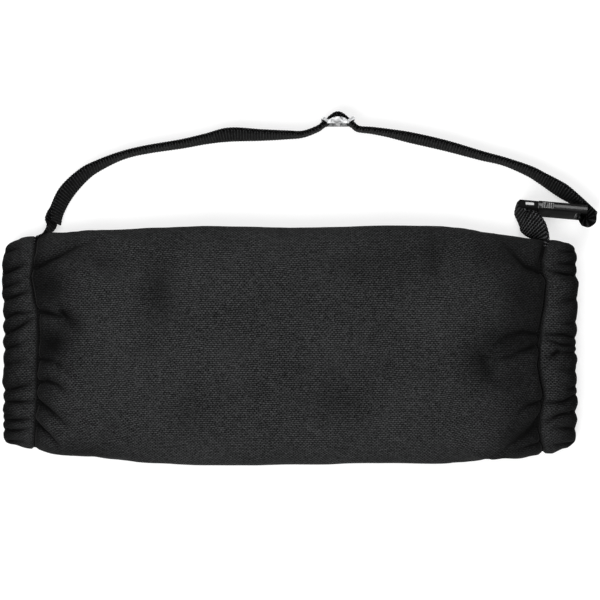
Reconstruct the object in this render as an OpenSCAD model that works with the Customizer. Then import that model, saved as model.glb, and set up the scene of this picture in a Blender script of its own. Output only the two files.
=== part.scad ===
// Padded hand-warmer muff with gathered elastic cuffs, a webbing waist belt,
// a metal slider on the belt and a side-release buckle that closes it.
// The muff lies on its back: +X runs along the hand tunnel, +Y points to the belt, +Z is up.
// The origin is under the middle of the muff, on the surface that it lies on.

/* [Padded tube] */
// Length of the padded tube between its two cuff seams
tube_l = 354; // [300:1:420]
// Width of the padded tube at its middle, lying flat
tube_w = 167; // [150:1:190]
// Height of the padded tube at its middle, lying flat
tube_h = 58; // [52:1:72]
// How much each side of the tube draws in towards the cuff seams
end_taper = 6; // [3:0.5:8]
// Depth of the pinch that the cuff stitching makes in the tube's ends
seam_pinch = 2.4; // [1:0.2:3]
// Thickness of the knitted outer fabric
shell_t = 1.2; // [0.8:0.1:2]
// Thickness of the fibre padding at the middle of the tube
pad_t = 9; // [6:0.5:11]
// Thickness of the fibre padding at the cuff seams
pad_seam_t = 3.5; // [3:0.5:5]
// Thickness of the fleece lining
fleece_t = 1.8; // [1.2:0.1:2.5]
// Depth of the gathers where the fabric is drawn in
gather_d = 2.8; // [0.5:0.1:3]
// Number of gathers round the tube
gather_n = 11; // [7:1:12]
// How far the gathers run into the tube from each seam
gather_reach = 26; // [12:1:40]

/* [Cuffs] */
// Width of each cuff along the tunnel
cuff_w = 24; // [20:0.5:34]
// How much each side of a cuff draws in from the seam to its open end
cuff_taper = 2.6; // [1:0.2:4]
// How far the cuff swells between the seam and its open end
cuff_swell = 1.4; // [0.5:0.1:2]
// Width of the elastic inside a cuff
elastic_w = 16; // [12:0.5:18]
// Thickness of the elastic inside a cuff
elastic_t = 1.6; // [1:0.1:2]

/* [Webbing] */
// Width of the belt and tab webbing
web_w = 20; // [16:0.5:25]
// Thickness of the webbing
web_t = 1.4; // [1:0.1:1.6]

/* [Layout] */
// How far the belt stands out from the muff beside the slider
belt_reach = 67.3; // [55:0.1:80]
// Distance of the slider from the middle of the muff along the tunnel
slider_x = 33.6; // [0:0.1:60]
// How far the buckle's middle lies beyond the cuff seam
buckle_past = 6.6; // [0:0.1:15]
// How far the buckle's middle stands out from the side of the muff
buckle_out = 11.6; // [10.6:0.1:16]

/* [Slider] */
// Length of the slider along the belt
slider_l = 23.5; // [22:0.5:28]
// Thickness of the slider's centre bar
slider_t = 2; // [1.6:0.1:2.4]
// Thickness of the slider's arched rails at their middle
slider_arch = 4.6; // [3.6:0.1:5]
// How far the outer bars stand out from the slider's centre line
slider_lift = 1.6; // [1:0.1:2]
// Width of the slider's rails beside the webbing
slider_rail = 2.6; // [2:0.1:3.5]
// Width of the slider's two outer bars
slider_bar = 2.6; // [2:0.1:3]
// Width of the slider's centre bar
slider_mid = 3.2; // [2.4:0.1:3.6]

/* [Buckle] */
// Thickness of the buckle at its middle
buckle_t = 7.8; // [7.2:0.1:9]
// Wall of the receiver's housing over the arms
buckle_wall = 1.6; // [1.2:0.1:2]
// Width of the solid rails beside the webbing slots
buckle_rail = 3.1; // [2.4:0.1:4]
// Radius of the round bars that hold the webbing
bar_r = 1.6; // [1.3:0.1:1.8]
// Length of the webbing slots along the buckle
slot_l = 4.6; // [4.2:0.1:6]
// Length of the latch base between its slot and the receiver
base_l = 5.8; // [5:0.1:8]
// Length of the receiver from its mouth to the web slot
housing_l = 26.2; // [24:0.1:32]
// Depth of the lip that the arms lock behind, at the receiver's mouth
lip_l = 2.2; // [1.6:0.1:3]
// Length of the finger windows in the receiver's sides
window_l = 8.4; // [7:0.1:10]
// Reach of the latch's arms and tongue into the receiver
arm_l = 18; // [16:0.5:20]
// Thickness of a latch arm
arm_t = 2.2; // [1.8:0.1:2.4]
// Width of the latch's guide tongue
tongue_w = 7; // [5:0.2:8]
// Number of finger ribs on each arm
rib_n = 5; // [3:1:6]

/* [Fits] */
// Gap that soft layers keep from each other and from what they wrap
soft_gap = 0.4; // [0.3:0.05:0.6]
// Running clearance between the buckle's moving pieces
run_gap = 0.35; // [0.25:0.05:0.5]
// Clearance round the root on which each arm flexes
root_gap = 0.08; // [0.05:0.01:0.1]

/* [Hidden] */

$fn = 40;
ring_n = 44;
seam_x = tube_l / 2;
flat_cut = 0.5;
round_top = 2.3;
round_base = 3.0;
pinch_reach = 5;

// ---- form of the soft tube ----
// Distance along the tube from the nearer cuff seam, and the share of the half length.
function from_seam(x) = abs(seam_x - abs(x));
function share(x) = min(1, abs(x) / seam_x);
function draw_in(x) = abs(x) <= seam_x
    ? end_taper * pow(share(x), 2.4) + seam_pinch * exp(-from_seam(x) / pinch_reach)
    : end_taper + seam_pinch + cuff_taper * from_seam(x) / cuff_w;
function half_w(x) = tube_w / 2 - draw_in(x);
function half_h(x) = tube_h / 2 - draw_in(x);
function signed_pow(v, p) = sign(v) * pow(abs(v), p);
// Gathers are always inward. They fade away from the seams on the tube and hold on the cuffs.
function gather(x, t) =
    let (
        fade = abs(x) > seam_x ? 1 : exp(-from_seam(x) / gather_reach),
        side = x < 0 ? 25 : 70,
        fine = 0.5 + 0.5 * cos(gather_n * t + 35 * sin(2 * t + side) + side),
        broad = 0.5 + 0.5 * cos(5 * t + 3 * side)
    )
    gather_d * fade * (0.7 * fine + 0.3 * broad);
// A point of the tube at x, `inset` below the outer fabric, at angle t round the tunnel.
function skin(x, inset, share_of_gather, t) =
    let (
        a = half_w(x) - inset,
        b = half_h(x) - inset,
        p = 2 / (sin(t) < 0 ? round_base : round_top),
        g = share_of_gather * gather(x, t),
        y = a * signed_pow(cos(t), p) - g * cos(t),
        z = b * signed_pow(sin(t), p) - g * sin(t) + half_h(x) - flat_cut
    )
    [x, y, max(z, 0)];

// A closed outline of [x, inset, share of the gathers] goes once round the tunnel.
module tunnel_sweep(outline) {
    m = len(outline);
    points = [for (o = outline, k = [0 : ring_n - 1]) skin(o[0], o[1], o[2], 360 * k / ring_n)];
    faces = [
        for (j = [0 : m - 1], k = [0 : ring_n - 1])
            let (
                j2 = (j + 1) % m,
                k2 = (k + 1) % ring_n,
                a = j * ring_n + k,
                b = j * ring_n + k2,
                c = j2 * ring_n + k2,
                d = j2 * ring_n + k
            )
            each [[a, d, c], [a, c, b]]
    ];
    polyhedron(points, faces, convexity = 8);
}

// Stations along the tube, closer together where the gathers are.
tube_steps = [-1, -0.965, -0.9, -0.79, -0.6, -0.32, 0, 0.32, 0.6, 0.79, 0.9, 0.965, 1];
function padding(x) = pad_t + (pad_seam_t - pad_t) * pow(share(x), 3);
pad_top = shell_t + soft_gap;
function fleece_top(x) = pad_top + padding(x) + soft_gap;
wall_seam = fleece_top(seam_x) + fleece_t;

module outer_shell() {
    color([0.07, 0.07, 0.075])
    tunnel_sweep(concat(
        [for (s = tube_steps) [s * seam_x, 0, 1]],
        [for (s = tube_steps) [-s * seam_x, shell_t, 1]]
    ));
}

// The padding stops short of the seams, one station in from each end.
module insulation() {
    steps = [for (i = [1 : len(tube_steps) - 2]) tube_steps[i]];
    color([0.86, 0.86, 0.83])
    tunnel_sweep(concat(
        [for (s = steps) [s * seam_x, pad_top, 1]],
        [for (s = steps) [-s * seam_x, pad_top + padding(s * seam_x), 0.5]]
    ));
}

module fleece_lining() {
    color([0.13, 0.13, 0.14])
    tunnel_sweep(concat(
        [for (s = tube_steps) [s * seam_x, fleece_top(s * seam_x), 0.5]],
        [for (s = tube_steps) [-s * seam_x, fleece_top(s * seam_x) + fleece_t, 0.5]]
    ));
}

// ---- cuffs ----
slot_mid = wall_seam / 2;
slot_half = elastic_t / 2 + soft_gap;
elastic_from = (cuff_w - elastic_w) * 0.35;
// side is -1 for the left cuff and 1 for the right one. The casing folds back at its open end.
module cuff(side) {
    inner = wall_seam;
    pocket = elastic_from + elastic_w + soft_gap;
    outline = [
        [soft_gap, 0.6, 1],
        [0.18 * cuff_w, -0.6 * cuff_swell, 1],
        [0.5 * cuff_w, -cuff_swell, 1],
        [0.8 * cuff_w, -0.6 * cuff_swell, 1],
        [0.96 * cuff_w, 0.18 * inner, 0.9],
        [cuff_w, 0.5 * inner, 0.6],
        [0.95 * cuff_w, 0.86 * inner, 0.5],
        [0.75 * cuff_w, inner + 0.3 * cuff_swell, 0.5],
        [soft_gap, inner, 0.5],
        [soft_gap, slot_mid + slot_half, 0.5],
        [pocket, slot_mid + slot_half, 0.5],
        [pocket, slot_mid - slot_half, 0.5],
        [soft_gap, slot_mid - slot_half, 0.5]
    ];
    ordered = side > 0 ? outline : [for (i = [len(outline) - 1 : -1 : 0]) outline[i]];
    tunnel_sweep([for (o = ordered) [side * (seam_x + o[0]), o[1], o[2]]]);
}

module cuff_elastic(side) {
    near = seam_x + elastic_from;
    far = near + elastic_w;
    band = [
        [near, slot_mid - elastic_t / 2, 0.5],
        [far, slot_mid - elastic_t / 2, 0.5],
        [far, slot_mid + elastic_t / 2, 0.5],
        [near, slot_mid + elastic_t / 2, 0.5]
    ];
    ordered = side > 0 ? band : [for (i = [3 : -1 : 0]) band[i]];
    tunnel_sweep([for (o = ordered) [side * o[0], o[1], o[2]]]);
}

module left_cuff() {
    color([0.06, 0.06, 0.065]) cuff(-1);
}

module right_cuff() {
    color([0.06, 0.06, 0.065]) cuff(1);
}

module left_cuff_elastic() {
    color([0.25, 0.25, 0.26]) cuff_elastic(-1);
}

module right_cuff_elastic() {
    color([0.25, 0.25, 0.26]) cuff_elastic(1);
}

// ---- places of the buckle and the slider ----
// A local frame has x along the belt, y out through the webbing's face and z across its width.
belt_y = 0.5 * tube_w;
lie_gap = 0.3;
buckle_w = web_w + 1 + 2 * buckle_rail;
latch_bar_x = bar_r;
base_x = latch_bar_x + bar_r + slot_l - 0.4;
mouth_x = base_x + base_l + run_gap;
rear_slot_x = mouth_x + housing_l;
rear_bar_x = rear_slot_x + slot_l + bar_r;
buckle_l = rear_bar_x + bar_r;
buckle_yaw = -5;
buckle_lean = 11;
buckle_c = [
    seam_x + buckle_past, belt_y + buckle_out,
    0.5 * (buckle_w * cos(buckle_lean) + buckle_t * sin(buckle_lean)) + lie_gap
];
slider_w = web_w + 0.8 + 2 * slider_rail;
slider_lean = 3;
slider_c = [
    slider_x, belt_y + belt_reach + 0.3 * web_w,
    0.5 * (slider_w * cos(slider_lean) + slider_t * sin(slider_lean)) + lie_gap
];

function turned(p, yaw, lean) =
    let (
        y = p[1] * cos(lean) + p[2] * sin(lean),
        z = -p[1] * sin(lean) + p[2] * cos(lean)
    )
    [p[0] * cos(yaw) - y * sin(yaw), p[0] * sin(yaw) + y * cos(yaw), z];
function at_buckle(p) = buckle_c + turned([p[0] - buckle_l / 2, p[1], p[2]], buckle_yaw, buckle_lean);
function at_slider(p) = slider_c + turned(p, 0, slider_lean);
buckle_across = turned([0, 0, 1], buckle_yaw, buckle_lean);
slider_across = turned([0, 0, 1], 0, slider_lean);

module in_buckle() {
    translate(buckle_c)
    rotate([0, 0, buckle_yaw])
    rotate([-buckle_lean, 0, 0])
    translate([-buckle_l / 2, 0, 0])
    children();
}

module in_slider() {
    translate(slider_c)
    rotate([-slider_lean, 0, 0])
    children();
}

// ---- webbing ----
// A route is a list of [point, direction across the webbing], smoothed by a Catmull-Rom curve.
function unit(v) = v / norm(v);
function blend4(a, b, c, d, s) =
    0.5 * (2 * b + (c - a) * s + (2 * a - 5 * b + 4 * c - d) * s * s + (3 * b - a - 3 * c + d) * s * s * s);
function clampi(i, n) = max(0, min(n - 1, i));
function curve(pts, steps) =
    let (n = len(pts))
    [
        for (i = [0 : n - 2], j = [0 : steps - 1])
            blend4(pts[clampi(i - 1, n)], pts[i], pts[i + 1], pts[clampi(i + 2, n)], j / steps),
        pts[n - 1]
    ];

module ribbon(route, steps) {
    spine = curve([for (r = route) r[0]], steps);
    across = curve([for (r = route) r[1]], steps);
    n = len(spine);
    points = [
        for (i = [0 : n - 1])
            let (
                t = unit(spine[clampi(i + 1, n)] - spine[clampi(i - 1, n)]),
                face = unit(cross(across[i], t)),
                wide = unit(cross(t, face)) * web_w / 2,
                thick = face * web_t / 2
            )
            each [spine[i] + wide + thick, spine[i] + wide - thick, spine[i] - wide - thick, spine[i] - wide + thick]
    ];
    faces = [
        [0, 1, 2], [0, 2, 3],
        for (i = [0 : n - 2], k = [0 : 3])
            let (a = 4 * i + k, b = 4 * i + (k + 1) % 4)
            each [[a, a + 4, b + 4], [a, b + 4, b]],
        [4 * n - 1, 4 * n - 2, 4 * n - 3], [4 * n - 1, 4 * n - 3, 4 * n - 4]
    ];
    polyhedron(points, faces, convexity = 12);
}

// Middle of the two belt layers, from the tail end to the receiver, as [x, y, z, lean].
// x is a share of the tube's half length, y of the belt's reach and z of the webbing's width.
belt_left = [
    [-0.9277, 0.052, 0.85, 22], [-0.9164, 0.1634, 0.79, 27], [-0.8842, 0.3566, 0.72, 22],
    [-0.8164, 0.5438, 0.64, 18], [-0.7514, 0.6464, 0.59, 12], [-0.6638, 0.7429, 0.56, 7],
    [-0.5706, 0.8024, 0.55, 7], [-0.4294, 0.8618, 0.55, 9], [-0.3333, 0.9138, 0.555, 12],
    [-0.2373, 0.9584, 0.57, 20], [-0.113, 0.9539, 0.575, 14], [-0.0113, 0.9554, 0.58, 8],
    [0.0508, 0.9629, 0.61, 4]
];
belt_right = [
    [0.3277, 1, 0.64, 4], [0.3955, 0.9718, 0.6, 7], [0.4802, 0.9257, 0.58, 12],
    [0.6158, 0.844, 0.57, 12], [0.7571, 0.74, 0.57, 9], [0.8531, 0.6746, 0.58, 7],
    [0.9492, 0.5765, 0.6, 12], [1, 0.5007, 0.62, 15], [1.0508, 0.419, 0.65, 20],
    [1.096, 0.3418, 0.68, 20]
];
layer_gap = web_t + soft_gap;
function lean_across(yaw, lean) = [-sin(yaw) * sin(lean), cos(yaw) * sin(lean), cos(lean)];
function placed(p) = [p[0] * seam_x, belt_y + p[1] * belt_reach, p[2] * web_w];
// One layer of a stretch: offset is the distance from the middle, outwards from the muff.
function layer(stretch, offset) =
    let (n = len(stretch))
    [
        for (i = [0 : n - 1])
            let (
                a = placed(stretch[clampi(i - 1, n)]),
                b = placed(stretch[clampi(i + 1, n)]),
                yaw = atan2(b[1] - a[1], b[0] - a[0]),
                w = lean_across(yaw, stretch[i][3]),
                out = cross(w, [cos(yaw), sin(yaw), 0])
            )
            [placed(stretch[i]) + out * offset, w]
    ];
// Through the slider both layers dip under its outer bars and stand up loosely over its centre bar.
mid_y = -0.6;
arch_base = -2.1;
arch_rise = slider_arch - 1.2;
bar_in = slider_l / 2 - slider_bar / 2;
under = slider_lift - slider_bar / 2 - soft_gap - web_t / 2;
over = mid_y + slider_t / 2 + soft_gap + web_t / 2 + layer_gap;
hump = [
    [-bar_in - 4.5, under - 3.4], [-bar_in - 0.4, under - 0.5], [-bar_in + 2, under + 0.7],
    [-0.7 * bar_in, under + 2.4], [-0.46 * bar_in, over + 0.5], [-0.25 * bar_in, over + 2],
    [0, over + 2.7], [0.29 * bar_in, over + 1.7], [0.54 * bar_in, over - 0.3],
    [0.73 * bar_in, under + 2], [bar_in - 1.9, under + 0.7], [bar_in + 0.4, under - 0.5], [bar_in + 4.5, under - 3.4]
];
function through_slider(offset) =
    let (n = len(hump))
    [
        for (i = [0 : n - 1])
            let (
                along = unit(hump[clampi(i + 1, n)] - hump[clampi(i - 1, n)]),
                p = hump[i] + (offset > 0 ? 0 : layer_gap) * [along[1], -along[0]]
            )
            [at_slider([p[0], p[1], 0]), slider_across]
    ];
// Half a turn about a buckle bar, from angle a0 by 180 degrees clockwise, seen with the width up.
wrap_r = bar_r + soft_gap + web_t / 2;
function half_turn(bar_x, a0) = [
    for (s = [0 : 30 : 180])
        [at_buckle([bar_x + wrap_r * cos(a0 - s), wrap_r * sin(a0 - s), 0]), buckle_across]
];
// The belt's loop hangs loose about the receiver's bar: its centre lies off the bar.
loose_r = wrap_r + 0.095 * web_w;
loose_off = [0.12, -0.12] * web_w;
function loose_turn(a) = [
    at_buckle([rear_bar_x + loose_off[0] + loose_r * cos(a), loose_off[1] + loose_r * sin(a), 0]),
    buckle_across
];
function reversed(list) = [for (i = [len(list) - 1 : -1 : 0]) list[i]];

// The sewn end of the belt starts in the groove of the left cuff seam.
// Each row is [along, out] in webbing widths and then the turn of the webbing's face.
belt_foot = [[-0.01, 0.01, 0], [0.25, 0.145, 3], [0.43, 0.35, 6], [0.5, 0.65, 12]];
foot_z = half_h(seam_x) - flat_cut;
belt_route = concat(
    [for (f = belt_foot) [
        [-seam_x + f[0] * web_w, half_w(seam_x) + f[1] * web_w, foot_z - f[2] * web_w / 80],
        [-0.035 * f[2], 0, 1]
    ]],
    [for (i = [1 : len(belt_left) - 1]) layer(belt_left, layer_gap / 2)[i]],
    through_slider(1),
    layer(belt_right, layer_gap / 2),
    [for (a = [35 : -35 : -140]) loose_turn(a)],
    [for (p = [[-wrap_r - 0.2, -1], [-wrap_r, 1.6], [-wrap_r + 0.6, 5]])
        [at_buckle([rear_bar_x + p[0], p[1], 0]), buckle_across]],
    reversed(layer(belt_right, -layer_gap / 2)),
    reversed(through_slider(-1)),
    reversed(layer(belt_left, -layer_gap / 2))
);
module belt_webbing() {
    color([0.05, 0.05, 0.055]) ribbon(belt_route, 2);
}

// The tab leaves the right cuff seam, turns on edge, goes round the latch bar and comes back.
// Each row is a place in webbing widths from the seam and the direction across the webbing.
tab_way = [
    [[0.015, -0.28, -0.055], [0.25, 0.15, 0.95]], [[-0.12, -0.13, -0.105], [0.45, 0.22, 0.87]],
    [[-0.26, 0, -0.145], [0.7, 0.34, 0.6]], [[-0.44, 0.105, -0.195], [0.7, 0.32, 0.62]],
    [[-0.61, 0.255, -0.245], [0.45, 0.15, 0.87]]
];
function tab_layer(side) =
    let (n = len(tab_way))
    [
        for (i = [0 : n - 1])
            let (
                ahead = tab_way[clampi(i + 1, n)][0] - tab_way[clampi(i - 1, n)][0],
                face = unit(cross(tab_way[i][1], ahead)),
                place = [seam_x, belt_y, foot_z] + tab_way[i][0] * web_w
            )
            [place - side * layer_gap / 2 * face, tab_way[i][1]],
        [at_buckle([latch_bar_x + side * (wrap_r - 0.2), -0.18 * web_w, 0]), buckle_across + [0.1, 0.03, 0]]
    ];
tab_route = concat(
    tab_layer(-1),
    half_turn(latch_bar_x, 180),
    reversed(tab_layer(1))
);
module tab_webbing() {
    color([0.05, 0.05, 0.055]) ribbon(tab_route, 2);
}

// ---- slider ----
module slider() {
    half_slot = web_w / 2 + 0.4;
    arch_half = 0.73 * bar_in;
    arch_r = (arch_half * arch_half + arch_rise * arch_rise) / (2 * arch_rise);
    neck_d = 0.8 * slider_rail;
    color([0.78, 0.78, 0.8])
    in_slider() {
        for (s = [-1, 1])
            scale([1, 1, s]) {
                // Each rail is flat on its inner side and arched on its outer side.
                translate([0, 0, half_slot])
                intersection() {
                    translate([0, arch_base + slider_arch - arch_r, 0])
                    cylinder(r = arch_r, h = slider_rail, $fn = 96);
                    translate([-arch_half, arch_base, -1])
                    cube([2 * arch_half, slider_arch + 1, slider_rail + 2]);
                }
                // Slim necks join the arch to the outer bars.
                for (e = [-1, 1])
                    hull() {
                        translate([e * bar_in, slider_lift, half_slot])
                        cylinder(d = neck_d, h = neck_d, $fn = 24);
                        translate([e * (arch_half - 1), arch_base + 0.6 * neck_d, half_slot])
                        cylinder(d = neck_d, h = neck_d, $fn = 24);
                    }
            }
        // Round outer bars.
        for (e = [-1, 1])
            translate([e * bar_in, slider_lift, 0])
            cylinder(d = slider_bar, h = 2 * (half_slot + neck_d), center = true);
        // The centre bar runs from rail to rail.
        translate([0, mid_y, 0])
        cube([slider_mid, slider_t, 2 * half_slot + 0.02], center = true);
    }
}

// ---- buckle ----
inner_h = buckle_t / 2 - buckle_wall;
inner_w = buckle_w / 2 - buckle_wall;
arm_half = inner_h - run_gap;
arm_out = buckle_w / 2 - 0.3;
lip_in = buckle_w / 2 - 1.3;
root_r = 1.3;
edge_drop = 0.7;
root_x = base_x + 2.2;
root_z = buckle_w / 2 - 4.2;
window_x = mouth_x + lip_l;

// A block of the buckle's section from x0 to x1: crowned faces and round long edges.
module buckle_block(x0, x1, w, t, r) {
    crown_r = 1.5;
    translate([x0, 0, 0])
    rotate([90, 0, 90])
    linear_extrude(x1 - x0)
    hull()
    for (y = [-1, 1], z = [-1, 1]) {
        translate([y * (t / 2 - edge_drop - r), z * (w / 2 - r)]) circle(r, $fn = 32);
        translate([y * (t / 2 - crown_r), z * 0.28 * w / 2]) circle(crown_r, $fn = 32);
    }
}

module web_bar(x) {
    translate([x, 0, 0])
    cylinder(r = bar_r, h = web_w + 2, center = true);
}

module web_slot(x0, x1) {
    translate([(x0 + x1) / 2, 0, 0])
    cube([x1 - x0, 2 * buckle_t, web_w + 1], center = true);
}

module buckle_receiver() {
    scoop_r = 10;
    scoop_d = 0.6;
    color([0.05, 0.05, 0.055])
    in_buckle() {
        difference() {
            buckle_block(mouth_x, buckle_l, buckle_w, buckle_t, 2.7);
            // Cavity that takes the arms and the tongue, open at the mouth.
            translate([mouth_x - 1, -inner_h, -lip_in])
            cube([lip_l + 1, 2 * inner_h, 2 * lip_in]);
            translate([window_x - 0.01, -inner_h, -inner_w])
            cube([arm_l + 1 - lip_l, 2 * inner_h, 2 * inner_w]);
            // Finger windows through both sides.
            for (s = [-1, 1])
                translate([window_x, -inner_h, s * buckle_w / 2 - buckle_wall - 0.5])
                cube([window_l, 2 * inner_h, 2 * buckle_wall + 1]);
            // Thumb scoop across both faces, over the windows.
            for (y = [-1, 1])
                translate([window_x + window_l / 2, y * (buckle_t / 2 + scoop_r - scoop_d), 0])
                cylinder(r = scoop_r, h = buckle_w + 2, center = true, $fn = 96);
            web_slot(rear_slot_x, buckle_l - 2 * bar_r);
            translate([buckle_l - 2 * bar_r - 0.01, -buckle_t, -web_w / 2 - 0.5])
            cube([2 * bar_r + 1, 2 * buckle_t, web_w + 1]);
        }
        web_bar(rear_bar_x);
    }
}

module buckle_latch() {
    socket_r = root_r + root_gap;
    slit_in = 2 * root_r;
    slit_out = root_r + run_gap;
    color([0.05, 0.05, 0.055])
    in_buckle() {
        difference() {
            buckle_block(0, base_x + base_l, buckle_w, buckle_t - 0.8, 2.4);
            web_slot(2 * bar_r, base_x);
            translate([-1, -buckle_t, -web_w / 2 - 0.5])
            cube([2 * bar_r + 1.01, 2 * buckle_t, web_w + 1]);
            // Each arm flexes on a round root in a slit of the base.
            for (s = [-1, 1]) {
                translate([root_x, 0, s * root_z])
                rotate([90, 0, 0])
                cylinder(r = socket_r, h = 2 * arm_half + 2 * root_gap, center = true);
                translate([root_x, -arm_half - root_gap, s > 0 ? root_z - slit_in : -root_z - slit_out])
                cube([base_l, 2 * (arm_half + root_gap), slit_in + slit_out]);
            }
        }
        web_bar(latch_bar_x);
        // Guide tongue with a pointed nose.
        rotate([90, 0, 0])
        linear_extrude(2 * arm_half, center = true)
        polygon([
            [base_x + base_l - 1, -tongue_w / 2], [mouth_x + arm_l - 3, -tongue_w / 2],
            [mouth_x + arm_l, -tongue_w / 4], [mouth_x + arm_l, tongue_w / 4],
            [mouth_x + arm_l - 3, tongue_w / 2], [base_x + base_l - 1, tongue_w / 2]
        ]);
    }
}

// An arm in the plan of the buckle: a root, a slim spring and a finger pad with a locking step.
module latch_arm(side) {
    pad_x0 = window_x + run_gap;
    pad_x1 = window_x + window_l - run_gap;
    tip_x = mouth_x + arm_l;
    spring_in = root_z - arm_t / 2;
    in_buckle()
    scale([1, 1, side]) {
        translate([root_x, 0, root_z])
        rotate([90, 0, 0])
        cylinder(r = root_r, h = 2 * arm_half, center = true);
        rotate([90, 0, 0])
        linear_extrude(2 * arm_half, center = true)
        polygon([
            [root_x, spring_in], [pad_x0 + 3, spring_in], [tip_x - 2, inner_w - 4.2],
            [tip_x, inner_w - 3], [tip_x - 0.6, inner_w - 1.6], [pad_x1, inner_w - run_gap],
            [pad_x1, arm_out], [pad_x0, arm_out], [pad_x0, lip_in - run_gap - 0.9],
            [root_x, spring_in + arm_t]
        ]);
        for (i = [0 : rib_n - 1])
            translate([pad_x0 + 0.8 + i * (pad_x1 - pad_x0 - 1.6) / (rib_n - 1), 0, arm_out - 0.1])
            rotate([90, 0, 0])
            cylinder(r = 0.45, h = 2 * arm_half - 0.4, center = true, $fn = 16);
    }
}

module latch_arm_upper() {
    color([0.05, 0.05, 0.055]) latch_arm(1);
}

module latch_arm_lower() {
    color([0.05, 0.05, 0.055]) latch_arm(-1);
}

outer_shell();
insulation();
fleece_lining();
left_cuff();
right_cuff();
left_cuff_elastic();
right_cuff_elastic();
belt_webbing();
tab_webbing();
slider();
buckle_receiver();
buckle_latch();
latch_arm_upper();
latch_arm_lower();
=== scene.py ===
# Padded hand-warmer muff with a webbing belt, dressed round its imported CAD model.
import math
import random

import bmesh
import bpy
import numpy as np
from mathutils import Matrix, Vector, noise


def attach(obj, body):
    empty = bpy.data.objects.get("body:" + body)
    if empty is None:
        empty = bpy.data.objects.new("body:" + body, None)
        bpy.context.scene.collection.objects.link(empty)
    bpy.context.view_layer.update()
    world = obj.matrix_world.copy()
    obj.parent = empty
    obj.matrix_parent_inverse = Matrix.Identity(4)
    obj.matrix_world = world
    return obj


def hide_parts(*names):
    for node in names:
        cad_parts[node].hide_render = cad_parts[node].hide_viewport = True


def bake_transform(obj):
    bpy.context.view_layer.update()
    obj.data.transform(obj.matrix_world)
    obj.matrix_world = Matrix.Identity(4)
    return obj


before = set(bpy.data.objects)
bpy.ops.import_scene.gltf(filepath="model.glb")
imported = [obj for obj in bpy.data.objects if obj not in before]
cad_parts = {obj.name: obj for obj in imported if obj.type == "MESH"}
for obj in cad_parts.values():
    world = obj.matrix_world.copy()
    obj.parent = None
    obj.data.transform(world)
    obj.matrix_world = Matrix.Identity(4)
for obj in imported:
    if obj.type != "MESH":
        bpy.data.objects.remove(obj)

bpy.context.scene.view_settings.view_transform = "Standard"
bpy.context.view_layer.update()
mm = 0.001


view = dict(
    millimetresPerPixel=0.70,
    pixels=600,
    centre=(7.0, 31.9),   # what the middle of the picture looks at
    height=2400,          # a long lens, straight down
    focusHeight=18,       # the height at which the scale holds
    sensor=36,
)


def makeCamera():
    data = bpy.data.cameras.new("camera")
    data.sensor_width = view["sensor"]
    span = view["millimetresPerPixel"] * view["pixels"]
    data.lens = view["sensor"] * (view["height"] - view["focusHeight"]) / span
    camera = bpy.data.objects.new("camera", data)
    camera.location = (view["centre"][0] * mm, view["centre"][1] * mm, view["height"] * mm)
    bpy.context.scene.collection.objects.link(camera)
    bpy.context.scene.camera = camera


# A shader socket that does sums.
class Wire:
    def __init__(self, tree, socket):
        self.tree = tree
        self.socket = socket

    def maths(self, operation, *values):
        node = self.tree.nodes.new("ShaderNodeMath")
        node.operation = operation
        for slot, value in zip(node.inputs, values):
            plug(self.tree, slot, value)
        return Wire(self.tree, node.outputs[0])

    def __add__(self, other):
        return self.maths("ADD", self, other)

    def __radd__(self, other):
        return self.maths("ADD", other, self)

    def __sub__(self, other):
        return self.maths("SUBTRACT", self, other)

    def __rsub__(self, other):
        return self.maths("SUBTRACT", other, self)

    def __mul__(self, other):
        return self.maths("MULTIPLY", self, other)

    def __rmul__(self, other):
        return self.maths("MULTIPLY", other, self)

    def __truediv__(self, other):
        return self.maths("DIVIDE", self, other)

    def __pow__(self, other):
        return self.maths("POWER", self, other)

    def __mod__(self, other):
        return self.maths("FLOORED_MODULO", self, other)

    def __abs__(self):
        return self.maths("ABSOLUTE", self)

    def saw(self):
        return abs(self % 1.0 - 0.5) * 2.0


def plug(tree, slot, value):
    if isinstance(value, Wire):
        tree.links.new(value.socket, slot)
    else:
        slot.default_value = value


class Finish:
    def __init__(self, name, **constants):
        self.material = bpy.data.materials.new(name)
        self.material.use_nodes = True
        self.tree = self.material.node_tree
        self.shader = self.tree.nodes["Principled BSDF"]
        self.coords = self.add("TexCoord", out=3)
        self.set(**constants)

    def set(self, **sockets):
        for key, value in sockets.items():
            plug(self.tree, self.shader.inputs[key.replace("_", " ")], value)

    def add(self, kind, settings=None, out=0, **sockets):
        node = self.tree.nodes.new("ShaderNode" + kind)
        for key, value in (settings or {}).items():
            setattr(node, key, value)
        for key, value in sockets.items():   # n6 is the seventh socket, for those that share a name
            place = int(key[1:]) if key[0] == "n" and key[1:].isdigit() else key.replace("_", " ")
            plug(self.tree, node.inputs[place], value)
        return Wire(self.tree, node.outputs[out])

    def noise(self, scale, detail, **sockets):
        return self.add("TexNoise", Vector=self.coords, Scale=scale, Detail=detail, **sockets)

    def split(self, vector):
        node = self.tree.nodes.new("ShaderNodeSeparateXYZ")
        plug(self.tree, node.inputs[0], vector)
        return [Wire(self.tree, socket) for socket in node.outputs]

    def blend(self, factor, dark, light):
        return self.add("Mix", dict(data_type="RGBA"), out=2, Factor=factor, n6=dark, n7=light)

    def bumps(self, height, distance):
        self.set(Normal=self.add("Bump", Height=height, Distance=distance, Strength=1.0))

    def onto(self, piece):
        piece.data.materials.clear()
        piece.data.materials.append(self.material)


def grey(level, tint=0.0):
    return (level * (1 - tint), level, level * (1 + tint), 1.0)


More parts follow.
